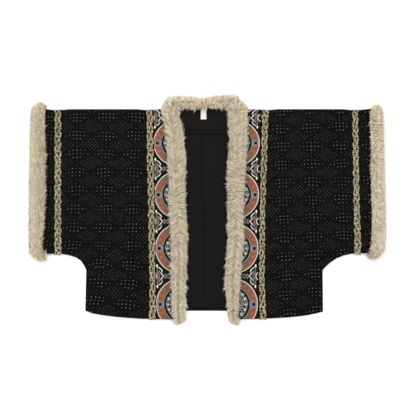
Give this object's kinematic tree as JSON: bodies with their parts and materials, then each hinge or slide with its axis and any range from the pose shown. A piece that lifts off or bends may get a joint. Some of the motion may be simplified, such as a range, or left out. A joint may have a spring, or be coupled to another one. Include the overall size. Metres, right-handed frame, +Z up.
{
  "type": "hanfu short jacket with fur trim",
  "caption": "Open-fronted short hanfu jacket with wide sleeves, laid flat, edged with fur, plaited braid and woven roundel ribbon.",
  "frame": {"origin": "middle of the outline, on the surface that the jacket lies on", "axes": "+X along the sleeves to the right of someone looking down at the front, +Y towards the neck, +Z up out of the front"},
  "size_m": [0.8979, 0.5791, 0.0292],
  "materials": {
    "jacquard": "matt black cloth with woven dots",
    "lining": "plain black lining",
    "ribbon": "woven roundels on black",
    "braid": "olive gold and cream plaited cord",
    "fur": "beige fur pile",
    "label": "white woven tape"
  },
  "bodies": {
    "root": {"shell_left": "jacquard", "shell_right": "jacquard", "lining_left": "lining", "lining_right": "lining", "neck_facing": "lining", "facing_band": "lining", "label": "label", "ribbon_left": "ribbon", "ribbon_right": "ribbon", "front_braid_left": "braid", "front_braid_right": "braid", "sleeve_braid_left": "braid", "sleeve_braid_right": "braid", "fur_front_left": "fur", "fur_front_right": "fur", "fur_neck": "fur", "fur_cuff_left": "fur", "fur_cuff_right": "fur"}
  },
  "joints": []
}
